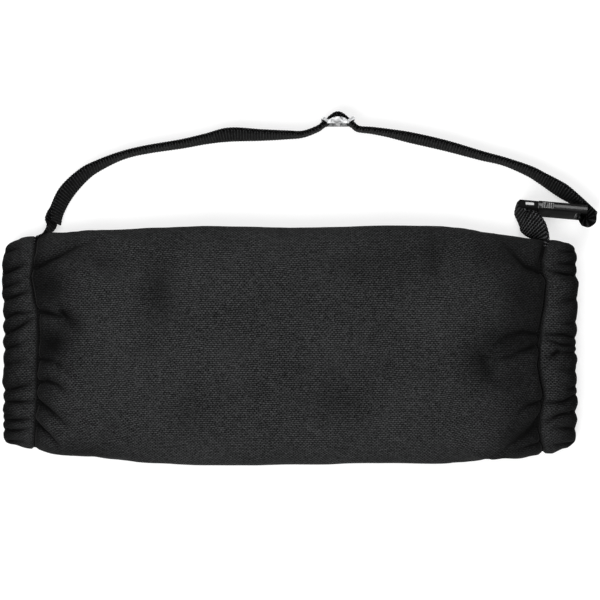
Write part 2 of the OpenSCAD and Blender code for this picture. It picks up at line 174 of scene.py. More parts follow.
# The padded tube's form, in millimetres.
muff = dict(
    length=354,          # between the two cuff seams
    width=167,
    height=58,
    endTaper=6,          # how much each side draws in towards the seams
    seamPinch=2.4,
    pinchReach=5,
    roundTop=2.3,        # roundness of the section above and below its middle
    roundBase=3.0,
    flatCut=0.5,
    shellThick=1.2,
    padThick=9,
    padThickAtSeam=3.5,
    fleeceThick=1.8,
    layerGap=0.4,
)
cuff = dict(width=24, taper=2.6, swell=1.4, elasticWidth=16, elasticThick=1.6)
seamAt = muff["length"] / 2
padTop = muff["shellThick"] + muff["layerGap"]


def drawIn(x):
    away = np.abs(seamAt - np.abs(x))
    along = np.minimum(1, np.abs(x) / seamAt)
    onTube = muff["endTaper"] * along ** 2.4 + muff["seamPinch"] * np.exp(-away / muff["pinchReach"])
    onCuff = muff["endTaper"] + muff["seamPinch"] + cuff["taper"] * away / cuff["width"]
    return np.where(np.abs(x) <= seamAt, onTube, onCuff)


def halfWidth(x):
    return muff["width"] / 2 - drawIn(x)


def halfHeight(x):
    return muff["height"] / 2 - drawIn(x)


def signedPower(value, power):
    return np.sign(value) * np.abs(value) ** power


# Points of the tube at x, inset below the outer fabric, at an angle round the tunnel.
def tubeSkin(x, inset, turn):
    x, inset, turn = np.broadcast_arrays(x, inset, turn)
    power = 2 / np.where(np.sin(turn) < 0, muff["roundBase"], muff["roundTop"])
    y = (halfWidth(x) - inset) * signedPower(np.cos(turn), power)
    z = (halfHeight(x) - inset) * signedPower(np.sin(turn), power) + halfHeight(x) - muff["flatCut"]
    return np.stack([x, y, z], axis=-1)


# How far the two long sides of the tube and its cuffs reach, by x.
sideReach = dict(
    top=[
        (-200, 71.8), (-193, 73.6), (-176, 76.6), (-168, 79.4), (-160, 78.9), (-134, 80.9), (-101, 82.3),
        (-59, 83.7), (109, 83.7), (126, 82.3), (143, 79.7), (160, 77.4), (176, 73.9), (185, 72.5), (193, 71),
    ],
    bottom=[
        (-193, 69), (-176, 72.5), (-168, 75.2), (-160, 76.7), (-134, 78.8), (-101, 81.6), (-59, 82.3),
        (109, 82.3), (126, 80.9), (143, 79.5), (160, 78.8), (176, 75.3), (185, 73.9), (193, 71),
    ],
)


def reachAt(x, y):
    top, bottom = (np.interp(x, *zip(*sideReach[name])) for name in ("top", "bottom"))
    return np.where(y > 0, top, bottom)


def fitSides(rings):
    rings[..., 1] *= reachAt(rings[..., 0], rings[..., 1]) / halfWidth(rings[..., 0])


# How far along its line each point lies.
def wayAlong(points, closed=False):
    steps = np.diff(points, axis=0, append=points[:1]) if closed else np.diff(points, axis=0)
    return np.concatenate([[0], np.cumsum(np.linalg.norm(steps, axis=1))])


def unit(vectors):
    return vectors / np.linalg.norm(vectors, axis=1, keepdims=True)


# Angles at equal steps round the section, and the way round it.
def evenTurns(count):
    dense = np.linspace(0, 2 * math.pi, 2881)
    way = wayAlong(tubeSkin(0.0, 0.0, dense))
    return np.interp(np.arange(count) / count * way[-1], way, dense), way[-1]


def padding(x):
    along = np.minimum(1, np.abs(x) / seamAt)
    return muff["padThick"] + (muff["padThickAtSeam"] - muff["padThick"]) * along ** 3


def fleeceTop(x):
    return padTop + padding(x) + muff["layerGap"]


wallAtSeam = float(fleeceTop(seamAt)) + muff["fleeceThick"]
seamShade = 0.95   # painted shade of the cloth in a seam, where little light reaches
elasticFrom = (cuff["width"] - cuff["elasticWidth"]) * 0.35   # from the seam


# The cuff seams wander a little: how far each lies from its mean place, by height in the plan.
seamWander = dict(
    left=[
        (-75, -1.4), (-68, -1.1), (-50, 0.6), (-35, 1.6), (-14, 1.9), (6, 2.8), (24, 2.2), (34, -0.6),
        (48, -3.2), (62, -0.6), (75, 0.3),
    ],
    right=[
        (-75, -0.8), (-71, -1.1), (-60, -4.2), (-49, -3.7), (-35, -0.6), (-14, -5.2), (0, -5.0), (14, -3.2),
        (28, -0.5), (44, 1.0), (51, -1.6), (59, -2.0), (68, 0.6), (75, 2.4),
    ],
)


def wander(x, y):
    shift = np.zeros(np.broadcast(x, y).shape)
    for name, sign in (("left", -1), ("right", 1)):
        places = seamWander[name]
        local = np.interp(y, [p[0] for p in places], [p[1] for p in places])
        reach = np.exp(-np.abs(seamAt - sign * x) / 16)
        shift = shift + np.where(sign * x > 0, local * reach, 0)
    return shift


def followSeams(rings):
    rings[..., 0] += wander(rings[..., 0], rings[..., 1])


def clothRings(x, inset, turns):
    rings = tubeSkin(x, inset, turns)
    fitSides(rings)
    followSeams(rings)
    return rings


# A tube from rows by spots of places, extruded ring by ring. Its UV map lays the cloth out flat.
def ringMesh(rings, closed=False, capped=False, uv=None):
    rows, spots = rings.shape[:2]
    mesh = bmesh.new()
    row = mesh.verts.layers.int.new("row")
    spot = mesh.verts.layers.int.new("spot")
    bmesh.ops.create_circle(mesh, segments=spots, radius=1)
    mesh.verts.ensure_lookup_table()
    for index, vertex in enumerate(mesh.verts):
        vertex[spot] = index
    edges = list(mesh.edges)
    firstEdges = edges
    for index in range(1, rows):
        grown = bmesh.ops.extrude_edge_only(mesh, edges=edges)["geom"]
        edges = [item for item in grown if isinstance(item, bmesh.types.BMEdge)]
        for item in grown:
            if isinstance(item, bmesh.types.BMVert):
                item[row] = index
    if closed:
        bmesh.ops.bridge_loops(mesh, edges=firstEdges + edges)
    if capped:
        for loop in (firstEdges, edges):
            bmesh.ops.contextual_create(mesh, geom=loop)
            for edge in loop:
                edge.smooth = False
    for vertex in mesh.verts:
        vertex.co = Vector(rings[vertex[row], vertex[spot]]) * mm
    if uv is not None:
        layer = mesh.loops.layers.uv.new("cloth")
        for face in mesh.faces:
            wraps = {0, spots - 1} <= {loop.vert[spot] for loop in face.loops}
            turnsOver = {0, rows - 1} <= {loop.vert[row] for loop in face.loops}
            for loop in face.loops:
                j = loop.vert[row] + (rows if turnsOver and loop.vert[row] == 0 else 0)
                k = loop.vert[spot] + (spots if wraps and loop.vert[spot] == 0 else 0)
                loop[layer].uv = uv(j, k)
    return mesh


def pieceFrom(name, mesh):
    data = bpy.data.meshes.new(name)
    mesh.to_mesh(data)
    mesh.free()
    for layer in ("row", "spot"):
        if layer in data.attributes:
            data.attributes.remove(data.attributes[layer])
    piece = bpy.data.objects.new(name, data)
    bpy.context.scene.collection.objects.link(piece)
    data.shade_smooth()
    return piece


def ringPiece(name, rings, **kind):
    mesh = ringMesh(rings, **kind)
    bmesh.ops.recalc_face_normals(mesh, faces=list(mesh.faces))
    return pieceFrom(name, mesh)


def perPoint(piece, value):
    flat = np.empty(len(piece.data.vertices) * 3)
    piece.data.vertices.foreach_get(value, flat)
    return flat.reshape(-1, 3)


def places(piece):
    return perPoint(piece, "co") / mm


def move(piece, points):
    piece.data.vertices.foreach_set("co", (points * mm).ravel())
    piece.data.update()


def normals(piece):
    return perPoint(piece, "normal")


def applied(piece):
    graph = bpy.context.evaluated_depsgraph_get()
    data = bpy.data.meshes.new_from_object(piece.evaluated_get(graph), depsgraph=graph)
    old = piece.data
    piece.modifiers.clear()
    piece.data = data
    bpy.data.meshes.remove(old)


# How much painted shade each point gets in the cloth's colour: dark in creases, hollows and seams, where
# little light reaches.
def paintShade(piece, amount):
    layer = piece.data.attributes.new("paintedShade", "FLOAT", "POINT")
    spread = np.broadcast_to(amount, len(piece.data.vertices))
    layer.data.foreach_set("value", np.ascontiguousarray(spread, dtype=np.float32))


# Fixed noise at each point, from about -1 to 1.
def noiseAt(points, size, seed):
    offset = Vector((seed * 17.3, seed * 5.1, seed * 9.7))
    return np.array([noise.noise(Vector(p) / size + offset) for p in points])


# Each fold is a line in the plan, then its depth and its width.
# A dent is a centre, its two radii, its depth and how much painted shade it gets. Those of depth 0 are
# painted shade alone: towards the bottom corners and beside the right seam.
folds = dict(
    leftFront=[
        ([(-177, 55), (-165, 61), (-150, 69), (-138, 73)], 2.2, 3.4),
        ([(-176, 24), (-168, 23.5), (-160, 20.5), (-154, 22), (-149, 15)], 2.4, 3.2),
        ([(-158, 24), (-150, 15)], 2.0, 4.5),
        ([(-176, -9), (-166, -10), (-156, -16)], 1.4, 4.0),
        ([(-176, -25.5), (-168, -24), (-160, -27.5), (-154, -33)], 2.6, 3.4),
        ([(-177, -38), (-168, -44), (-160, -51), (-154, -56)], 2.8, 3.8),
        ([(-177, -54), (-168, -62), (-160, -71)], 2.8, 3.2),
    ],
    rightFront=[
        ([(174, 52), (164, 56), (156, 65), (149, 73)], 2.2, 4.2),
        ([(177, 71), (174, 58), (173, 50)], 1.2, 2.6),
        ([(174, 8), (162, 9.5), (150, 7), (141, 0)], 2.4, 3.4),
        ([(174, 2), (162, -3), (151, -8), (142, -10)], 2.2, 3.6),
        ([(133, -8), (137, -22), (150, -31)], 0.8, 9.0),
        ([(175, -39), (166, -41), (157, -48)], 2.0, 3.4),
        ([(174, -52), (168, -59), (158, -67), (148, -74)], 3.2, 5.0),
        ([(177, -66), (168, -70), (156, -74)], 1.6, 3.0),
    ],
    dents=[
        ((-169, 42), (16, 18), 2.6, 0.85), ((-165, 2), (14, 14), 3.0, 0.95), ((-150, 17), (9, 8), 1.4, 0.5),
        ((-169, -34), (9, 20), 0.8, 0.4), ((-150, 66), (26, 12), 0.6, 0.3), ((-126, 57), (12, 10), 0.4, 0.25),
        ((-91, 37), (12, 19), 1.2, 0.55), ((-70, -46), (14, 18), 0.7, 0.25), ((-150, -78), (26, 8), 0, 0.7),
        ((161, 28), (22, 30), 1.6, 0.6), ((152, 3), (22, 12), 1.8, 0.65), ((133, -14), (12, 14), 1.2, 0.5),
        ((157, -22), (12, 12), 1.0, 0.5), ((163, 42), (14, 16), 0.6, 0.4), ((163, -44), (20, 24), 1.4, 0.5),
        ((160, -63), (15, 10), 0.8, 0.65), ((150, 66), (26, 15), 1.0, 0.5), ((98, 64), (9, 20), 0.9, 0.45),
        ((78, 56), (12, 20), 0.4, 0.2), ((46, 56), (24, 12), 0.6, 0.3), ((32, -38), (18, 16), 0.7, 0.3),
        ((152, -78), (28, 7), 0, 0.5), ((165, 10), (10, 30), 0, 0.25),
    ],
)


# Distance to a line of points, the share along it, and which side of it each point lies on.
def nearLine(x, y, line):
    best = np.full(x.shape, 1e9)
    along = np.zeros(x.shape)
    side = np.zeros(x.shape)
    spans = [math.dist(a, b) for a, b in zip(line, line[1:])]
    done = 0.0
    for (ax, ay), (bx, by), span in zip(line, line[1:], spans):
        dx, dy = (bx - ax) / span, (by - ay) / span
        t = np.clip((x - ax) * dx + (y - ay) * dy, 0, span)
        ox, oy = x - ax - t * dx, y - ay - t * dy
        distance = np.hypot(ox, oy)
        nearer = distance < best
        best = np.where(nearer, distance, best)
        along = np.where(nearer, (done + t) / sum(spans), along)
        side = np.where(nearer, np.sign(dx * oy - dy * ox), side)
        done += span
    return best, along, side


# A crease sinks in a narrow line and the cloth stands up softly beside it, more on one side. It also gives
# the painted shade in its groove and on its slope.
def creaseShape(x, y, line, depth, width):
    distance, along, side = nearLine(x, y, line)
    fade = np.clip(1.15 - along, 0, 1) ** 0.7
    groove = np.exp(-(distance / (0.36 * width)) ** 2)
    slope = np.exp(-(distance / (1.4 * width)) ** 2)
    bulge = np.exp(-((distance - 1.5 * width) / (1.1 * width)) ** 2)
    height = depth * fade * (-0.8 * groove - 0.42 * slope + (0.26 + 0.2 * side) * bulge)
    # painted shade, darkest in the groove
    dark = fade * min(1, depth / 2.2) * (0.8 * np.exp(-(distance / (0.42 * width)) ** 2) + 0.42 * slope)
    return height, dark


def dentShape(x, y, centre, radii):
    return np.exp(-((x - centre[0]) / radii[0]) ** 2 - ((y - centre[1]) / radii[1]) ** 2)


# Creases for the back and the sides, drawn from a fixed seed.
def hiddenFolds(seed, count):
    draw = random.Random(seed)
    made = []
    for side in (-1, 1):
        for index in range(count):
            y = -72 + 144 * (index + draw.uniform(0.2, 0.8)) / count
            run = draw.uniform(14, 34)
            slant = draw.uniform(-0.5, 0.5) + 0.25 * y / 72
            line = [
                (side * (seamAt - 0.5), y),
                (side * (seamAt - 0.45 * run), y + 0.4 * slant * run),
                (side * (seamAt - run), y + slant * run),
            ]
            made.append((line, draw.uniform(1.2, 2.6), draw.uniform(2.8, 4.4)))
    return made


shell = dict(
    rows=81, spots=184,
    evenShare=0.62,      # the rest of the spacing draws the rows together towards the seams
    startInset=2.5,      # the start lies inside the finished form, and pressure fills it
    startReach=40,
    waves=[(70, 1.3, 3), (26, 0.5, 5), (11, 0.16, 8)],   # size, height and seed of each layer of unevenness
    cloth=dict(
        quality=6, mass=0.25,
        tension_stiffness=18, compression_stiffness=18, shear_stiffness=6, bending_stiffness=0.6,
        shrink_min=-0.02, use_pressure=True, uniform_pressure_force=4.0, vertex_group_mass="pins",
    ),
    heldNearSeam=5, heldBelow=1.5,   # what the seams and the table hold while the pressure acts
    frames=20,
    cap=4.0,             # the farthest that a point may move
    lowest=0.25,
    foldGain=1.45,
    deepest=3.8,
    hollow=1.0, puff=1.0,   # how far the filled cloth may lie from the plain form
    seamHalf=1.7, seamDepth=1.3,   # the groove that the stitching pulls
    # the reach and strength of painted shade in a broad band beside each seam
    besideReach=8, besideShade=0.62,
    calmReach=12, dentReach=7,   # how near the seams the unevenness and the dents fade
)


def shellRings():
    share = np.linspace(-1, 1, shell["rows"])
    even = shell["evenShare"]
    x = seamAt * (even * share + (1 - even) * np.sin(share * math.pi / 2))
    turns, around = evenTurns(shell["spots"])
    inset = shell["startInset"] * np.clip((seamAt - np.abs(x)) / shell["startReach"], 0, 1)
    rings = tubeSkin(x[:, None], inset[:, None], turns)
    followSeams(rings)
    return rings, x, around


# The filled shell takes the width and the crown that it has at each place along it.
def fitShell(piece, stations):
    rings = places(piece).reshape(shell["rows"], shell["spots"], 3)
    x = rings[..., 0].mean(axis=1)
    y = rings[..., 1]
    now = np.where(y > 0, y.max(axis=1, keepdims=True), -y.min(axis=1, keepdims=True))
    rings[..., 1] *= reachAt(rings[..., 0], y) / now
    crown = 2 * halfHeight(x) - muff["flatCut"]
    rings[..., 2] *= (crown / rings[..., 2].max(axis=1))[:, None]
    move(piece, rings.reshape(-1, 3))
    turns, _ = evenTurns(shell["spots"])
    plain = clothRings(stations[:, None], 0.0, turns)
    facing = normals(piece)
    stands = ((rings - plain).reshape(-1, 3) * facing).sum(axis=1)
    kept = np.clip(stands, -shell["hollow"], shell["puff"])
    move(piece, rings.reshape(-1, 3) + facing * (kept - stands)[:, None])


def simulateShell(piece):
    start = places(piece)
    pins = piece.vertex_groups.new(name="pins")
    held = np.abs(start[:, 0]) > seamAt - shell["heldNearSeam"]
    low = start[:, 2] < shell["heldBelow"]
    for index in np.nonzero(held | low)[0]:
        pins.add([int(index)], 1.0, "REPLACE")
    cloth = piece.modifiers.new("cloth", "CLOTH")
    for key, value in shell["cloth"].items():
        setattr(cloth.settings, key, value)
    cloth.settings.effector_weights.gravity = 0
    cloth.collision_settings.use_collision = False
    cloth.point_cache.frame_start = 1
    cloth.point_cache.frame_end = shell["frames"]
    scene = bpy.context.scene
    for frameNumber in range(1, shell["frames"] + 1):
        scene.frame_set(frameNumber)
    applied(piece)
    scene.frame_set(1)
    shift = places(piece) - start
    length = np.linalg.norm(shift, axis=1, keepdims=True)
    shift *= np.minimum(1, shell["cap"] / np.maximum(length, 1e-6))
    move(piece, start + shift)
    piece.vertex_groups.clear()


def foldShell(piece):
    points = places(piece)
    facing = normals(piece)
    x, y = points[:, 0], points[:, 1]
    front = np.clip(facing[:, 2] * 3 + 0.8, 0, 1)   # 1 on the upper side and 0 below
    sink = np.zeros(len(points))
    dark = np.zeros(len(points))
    upper, lower = folds["leftFront"] + folds["rightFront"], hiddenFolds(seed=11, count=9)
    for share, lines in ((front, upper), (1 - front, lower)):
        for line, depth, width in lines:
            height, shade = creaseShape(x, y, line, shell["foldGain"] * depth, width)
            sink += share * height
            dark = np.maximum(dark, share * shade)
    fromSeam = seamAt - np.abs(x - wander(x, y))
    # each dent sinks the cloth and gets painted shade
    for centre, radii, depth, shade in folds["dents"]:
        hollow = front * dentShape(x, y, centre, radii)
        sink -= depth * hollow * np.clip(fromSeam / shell["dentReach"], 0.2, 1)
        dark = 1 - (1 - dark) * (1 - shade * hollow)
    calm = np.clip((seamAt - np.abs(x)) / shell["calmReach"], 0, 1)
    for size, height, seed in shell["waves"]:
        sink += height * calm * noiseAt(points, size, seed)
    groove = np.exp(-(fromSeam / shell["seamHalf"]) ** 2)
    sink = np.maximum(sink, -shell["deepest"] + 1.8 * groove) - shell["seamDepth"] * groove
    points += facing * sink[:, None]
    points[:, 2] = np.maximum(points[:, 2], shell["lowest"])
    move(piece, points)
    # painted shade: the creases and dents, the seam's groove, and the band beside the seam
    seamSideShade = shell["besideShade"] * np.exp(-(fromSeam / shell["besideReach"]) ** 2)
    paintShade(piece, 1 - (1 - np.clip(dark, 0, 1)) * (1 - seamShade * groove) * (1 - seamSideShade))


def makeShell():
    rings, x, around = shellRings()

    def cloth(j, k):
        return x[j] * mm, k / shell["spots"] * around * mm

    mesh = ringMesh(rings, uv=cloth)
    mesh.normal_update()
    mesh.faces.ensure_lookup_table()
    probe = mesh.faces[0]
    middle = Vector((0, 0, muff["height"] / 2 * mm))
    if probe.normal.dot(probe.calc_center_median() - middle) < 0:
        bmesh.ops.reverse_faces(mesh, faces=list(mesh.faces))
    piece = pieceFrom("shellFabric", mesh)
    simulateShell(piece)
    fitShell(piece, x)
    finer = piece.modifiers.new("finer", "SUBSURF")
    finer.levels = finer.render_levels = 1
    applied(piece)
    foldShell(piece)
    wall = piece.modifiers.new("wall", "SOLIDIFY")
    wall.thickness = muff["shellThick"] * mm
    wall.offset = -1
    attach(piece, "muff")
    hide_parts("outer_shell")
    return piece


inside = dict(
    padReach=140,
    padHollow=6.2, padFlare=7.5,   # how the padding's outer side falls away towards its ends
    rows=41, spots=96,
    gathers=11, gatherDepth=1.4, gatherReach=26,
    lumpSize=24, padSwell=0.25, fleeceSwell=0.2,
)


def innerRings(top, bottom, reach, swell, seed):
    share = np.linspace(-1, 1, inside["rows"])
    x = np.concatenate([share, share[::-1]]) * reach
    turns, _ = evenTurns(inside["spots"])
    inset = np.concatenate([top(share * reach), bottom(share[::-1] * reach)])
    rings = tubeSkin(x[:, None], inset[:, None], turns)
    fade = np.exp(-(seamAt - np.abs(x)) / inside["gatherReach"])
    gather = inside["gatherDepth"] * fade[:, None] * (0.5 + 0.5 * np.cos(inside["gathers"] * turns))
    rings[..., 1] -= gather * np.cos(turns)
    rings[..., 2] -= gather * np.sin(turns)
    lump = noiseAt(rings.reshape(-1, 3), inside["lumpSize"], seed).reshape(rings.shape[:2]) * swell
    rings[..., 1] -= lump * np.cos(turns)
    rings[..., 2] -= lump * np.sin(turns)
    fitSides(rings)
    return rings


def makePadding():
    def top(x):
        return padTop + padding(x) - inside["padHollow"] + inside["padFlare"] * (np.abs(x) / seamAt) ** 2

    def bottom(x):
        return padTop + padding(x) - muff["layerGap"]

    rings = innerRings(top, bottom, inside["padReach"], inside["padSwell"], 21)
    piece = ringPiece("fibrePadding", rings, closed=True)
    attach(piece, "muff")
    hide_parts("insulation")
    return piece


def makeLining():
    def bottom(x):
        return fleeceTop(x) + muff["fleeceThick"]

    rings = innerRings(fleeceTop, bottom, seamAt, inside["fleeceSwell"], 33)
    piece = ringPiece("fleeceLining", rings, closed=True)
    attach(piece, "muff")
    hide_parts("fleece_lining")
    return piece


cuffLook = dict(
    spots=520,
    leftFolds=[
        ([(-200, 65), (-188, 69)], 1.0, 3.0), ([(-198, 51), (-184, 57)], 1.6, 3.4),
        ([(-199, 40), (-186, 46)], 1.0, 3.6), ([(-200, 31), (-180, 39)], 1.8, 3.2),
        ([(-200, 18), (-190, 23), (-178, 23)], 1.5, 3.0), ([(-199, 8), (-190, 12), (-177, 20)], 2.0, 3.2),
        ([(-200, -3), (-186, 2)], 1.9, 3.4), ([(-200, -14), (-184, -9)], 0.8, 4.0),
        ([(-201, -31), (-192, -30), (-179, -26)], 2.1, 3.4), ([(-201, -39), (-178, -39)], 1.8, 3.2),
        ([(-200, -47), (-190, -49)], 0.9, 3.6), ([(-201, -52), (-190, -52), (-180, -51)], 1.9, 3.4),
        ([(-200, -58.5), (-190, -59.5), (-182, -58)], 1.9, 3.2), ([(-200, -67), (-184, -67)], 1.0, 3.6),
    ],
    rightFolds=[
        ([(201, 66), (188, 66)], 1.2, 3.4), ([(201, 57), (186, 57.5)], 1.4, 3.2),
        ([(201, 49), (192, 50), (179, 53)], 1.9, 3.4), ([(202, 33), (188, 31)], 1.0, 3.6),
        ([(202, 17), (190, 15)], 1.3, 3.2), ([(201, 5), (190, 8), (176, 8)], 1.8, 3.0),
        ([(201, 0), (188, 1), (178, 4)], 1.4, 3.0), ([(200, -4.5), (186, -5)], 2.0, 3.0),
        ([(186, -4), (178, -9)], 1.2, 3.0), ([(201, -18), (188, -16)], 0.8, 3.6),
        ([(200, -28), (192, -31)], 1.6, 3.2), ([(200, -34), (190, -39), (178, -40)], 2.0, 3.2),
        ([(199, -46), (188, -48), (177, -53)], 2.1, 3.2), ([(199, -58), (182, -57)], 1.0, 3.6),
        ([(198, -68), (180, -70)], 0.9, 3.6),
    ],
    endBow=5.0,          # how far the open edge falls back at its corners
    cornerAt=72.5,
    scallop=0.3,
    lump=0.35, lumpSize=9.0,
    foldGain=1.7,
    deepest=3.3,
    lowest=0.3,
    frontAt=20, frontBlend=8,   # the height where the lower side's creases give way to the upper side's
    rimShade=0.88, rimFrom=0.25, rimOver=0.65,   # where painted shade darkens the casing towards its open edge, as shares of its width
    endAt=(-1.0, -0.6),  # how far the left and the right open edge lie from the casing's full width
)


# Rows of [distance from the seam, inset, share of the creases] round the folded casing.
def cuffOutline():
    width, swell, inner = cuff["width"], cuff["swell"], wallAtSeam
    gap = muff["layerGap"]
    slotMid = inner / 2
    slotHalf = cuff["elasticThick"] / 2 + gap
    pocket = elasticFrom + cuff["elasticWidth"] + gap
    outer = [(gap, 2.2, 0.3), (1.1, 0.7, 0.8), (2.4, -0.4, 1)]
    outer += [
        (s * width, -swell * (0.45 + 0.55 * math.sin(math.pi * (s - 0.15) / 0.75)), 1)
        for s in np.linspace(0.16, 0.86, 13)
    ]
    rim = [
        (width - 0.31 * inner * (1 - math.sin(a)), 0.5 * inner * (1 - math.cos(a)), math.cos(a / 2) ** 2.2)
        for a in np.linspace(0.32, math.pi - 0.25, 10)
    ]
    back = [(s * width, inner, 0) for s in (0.74, 0.6, 0.45, 0.3, 0.15)]
    deep, shallow = slotMid + slotHalf, slotMid - slotHalf
    pocketLine = [(gap, inner), (gap, deep), (0.5 * pocket, deep), (pocket, deep)]
    pocketLine += [(pocket, shallow), (0.5 * pocket, shallow), (gap, shallow)]
    return np.array(outer + rim + back + [place + (0,) for place in pocketLine])


def hiddenCuffFolds(side, seed):
    draw = random.Random(seed)
    made = []
    y = -70
    while y < 70:
        lean = draw.uniform(-5, 5)
        made.append((
            [(side * 201, y), (side * 190, y + 0.4 * lean), (side * 178, y + lean)],
            draw.uniform(0.7, 1.5), draw.uniform(3.2, 4.6),
        ))
        y += draw.uniform(9, 19)
    return made


def makeCuff(name, side, node, frontFolds, seed):
    outline = cuffOutline()
    turns, around = evenTurns(cuffLook["spots"])
    x = side * (seamAt + outline[:, 0])
    rings = clothRings(x[:, None], outline[:, 1][:, None], turns)
    reach = np.clip(outline[:, 0] / cuff["width"], 0, 1)[:, None]
    corner = np.clip(np.abs(rings[..., 1]) / cuffLook["cornerAt"], 0, 1.02)
    rings[..., 0] -= side * cuffLook["endBow"] * reach ** 2 * corner ** 26
    edge = np.stack([0 * turns, rings[-12, :, 1], 12 * np.sign(np.sin(turns))], axis=1)
    uneven = noiseAt(edge, 6.0, seed) + 0.6 * noiseAt(edge, 16.0, seed + 1)
    rings[..., 0] += side * cuffLook["scallop"] * reach ** 4 * uneven
    rings[..., 0] += side * cuffLook["endAt"][0 if side < 0 else 1] * reach ** 2
    way = wayAlong(outline[:, :2], closed=True)

    def cloth(j, k):
        return way[j] * mm, k / cuffLook["spots"] * around * mm

    piece = ringPiece(name, rings, closed=True, uv=cloth)
    points, facing = places(piece), normals(piece)
    px, py = points[:, 0], points[:, 1]
    casing = np.repeat(outline[:, 2], cuffLook["spots"])
    front = np.clip((points[:, 2] - cuffLook["frontAt"]) / cuffLook["frontBlend"] + 0.5, 0, 1)
    sink = np.zeros(len(points))
    dark = np.zeros(len(points))
    for share, lines in ((front, frontFolds), (1 - front, hiddenCuffFolds(side, seed))):
        for line, depth, width in lines:
            height, shade = creaseShape(px, py, line, cuffLook["foldGain"] * depth, width)
            sink += share * height
            dark = np.maximum(dark, share * np.clip(1.25 * shade, 0, 1))
    sink += cuffLook["lump"] * noiseAt(points, cuffLook["lumpSize"], seed + 2)
    sink = np.maximum(sink, -cuffLook["deepest"])
    points += facing * (sink * casing)[:, None]
    points[:, 2] = np.maximum(points[:, 2], cuffLook["lowest"])
    move(piece, points)
    # painted shade: the creases, the seam, and towards the open rim
    away = side * (px - wander(px, py)) - seamAt
    atSeam = np.exp(-np.clip(away, 0, None) ** 2 / 1.8)
    towardsRim = np.clip((away / cuff["width"] - cuffLook["rimFrom"]) / cuffLook["rimOver"], 0, 1)
    atRim = cuffLook["rimShade"] * towardsRim ** 1.3
    paintShade(piece, 1 - (1 - np.clip(dark * casing, 0, 1)) * (1 - seamShade * atSeam) * (1 - atRim))
    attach(piece, "muff")
    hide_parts(node)
    return piece


# The sewn edges of shell, lining and cuff lie together inside each seam: its section as distance and inset.
seam = dict(
    outline=[(-4, 3.6), (-1, 3.4), (2.3, 3.0), (2.3, 4.6), (-1, 5.0), (-4, 5.2)],
    spots=120,
    step=2.0,            # the cloth between two points of the outline
    bunch=2.0,           # how far the fabric bunches outwards at the two sides
)


def makeSeam(name, side):
    outline = np.array(seam["outline"])
    turns, around = evenTurns(seam["spots"])
    rings = tubeSkin(side * (seamAt + outline[:, 0])[:, None], outline[:, 1][:, None], turns)
    fitSides(rings)
    rings[..., 1] += seam["bunch"] * np.sign(rings[..., 1]) * np.clip(np.abs(rings[..., 1]) / 6 - 10.5, 0, 1)
    followSeams(rings)

    def cloth(j, k):
        return j * seam["step"] * mm, k / seam["spots"] * around * mm

    piece = ringPiece(name, rings, closed=True, uv=cloth)
    # painted shade over the whole seam piece
    paintShade(piece, seamShade)
    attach(piece, "muff")
    return piece


elastic = dict(ribs=6, ripple=0.12, spots=72)


def makeElastic(name, side, node):
    across = np.linspace(0, 1, elastic["ribs"] * 4 + 1)
    ripple = elastic["ripple"] * (1 + np.cos(across * elastic["ribs"] * 2 * math.pi))
    top, bottom = (wallAtSeam / 2 + way * cuff["elasticThick"] / 2 for way in (-1, 1))
    x = seamAt + elasticFrom + np.concatenate([across, across[::-1]]) * cuff["elasticWidth"]
    inset = np.concatenate([top + ripple, bottom - ripple[::-1]])
    turns, _ = evenTurns(elastic["spots"])
    rings = clothRings(side * x[:, None], inset[:, None], turns)
    piece = ringPiece(name, rings, closed=True)
    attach(piece, "muff")
    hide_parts(node)
    return piece


webbing = dict(
    width=20,
    thick=1.4,
    gap=0.4,             # between layers, and round what it wraps
    edgeRound=0.5,
    ribPitch=2.0,
    ribDepth=0.26,
    edgeRib=0.3,
    step=0.4,            # distance between rings
)
slider = dict(
    length=23.5, thick=2, bar=2.6, rail=2.6, slack=0.8, lift=1.6, middle=-0.6, lean=3, centre=(33.6, 73.3),
)
buckle = dict(
    rail=3.1, thick=7.8, slack=1, barRadius=1.6, base=5.8, housing=26.2, runGap=0.35,
    slot=4.6, latchSlotLess=0.4,   # how much narrower the latch's slot is than the receiver's
    yaw=-5, lean=11, centre=(6.6, 11.6),
    looseOff=(2.4, -2.4), looseBy=1.9, looseTilt=0.3,   # the belt's loop hangs loose about the receiver's bar
)


def turned(point, yaw, lean):
    x, y, z = point
    c, s = math.cos(math.radians(lean)), math.sin(math.radians(lean))
    y, z = y * c + z * s, z * c - y * s
    c, s = math.cos(math.radians(yaw)), math.sin(math.radians(yaw))
    return np.array([x * c - y * s, x * s + y * c, z])


lieGap = 0.3   # under what leans on the table
buckleWidth = webbing["width"] + buckle["slack"] + 2 * buckle["rail"]
latchBar = buckle["barRadius"]
mouth = 2 * buckle["barRadius"] + buckle["slot"] - buckle["latchSlotLess"] + buckle["base"] + buckle["runGap"]
rearBar = mouth + buckle["housing"] + buckle["slot"] + buckle["barRadius"]
buckleLength = rearBar + buckle["barRadius"]
buckleLean = math.radians(buckle["lean"])
buckleCentre = np.array([
    seamAt + buckle["centre"][0],
    muff["width"] / 2 + buckle["centre"][1],
    0.5 * (buckleWidth * math.cos(buckleLean) + buckle["thick"] * math.sin(buckleLean)) + lieGap,
])
sliderWidth = webbing["width"] + slider["slack"] + 2 * slider["rail"]
sliderLean = math.radians(slider["lean"])
sliderCentre = np.array([
    slider["centre"][0],
    muff["width"] / 2 + slider["centre"][1],
    0.5 * (sliderWidth * math.cos(sliderLean) + slider["thick"] * math.sin(sliderLean)) + lieGap,
])


# Both local frames have x along the webbing, y out through its face and z across it.
def atBuckle(x, y, z):
    return buckleCentre + turned((x - buckleLength / 2, y, z), buckle["yaw"], buckle["lean"])


def atSlider(x, y, z):
    return sliderCentre + turned((x, y, z), 0, slider["lean"])


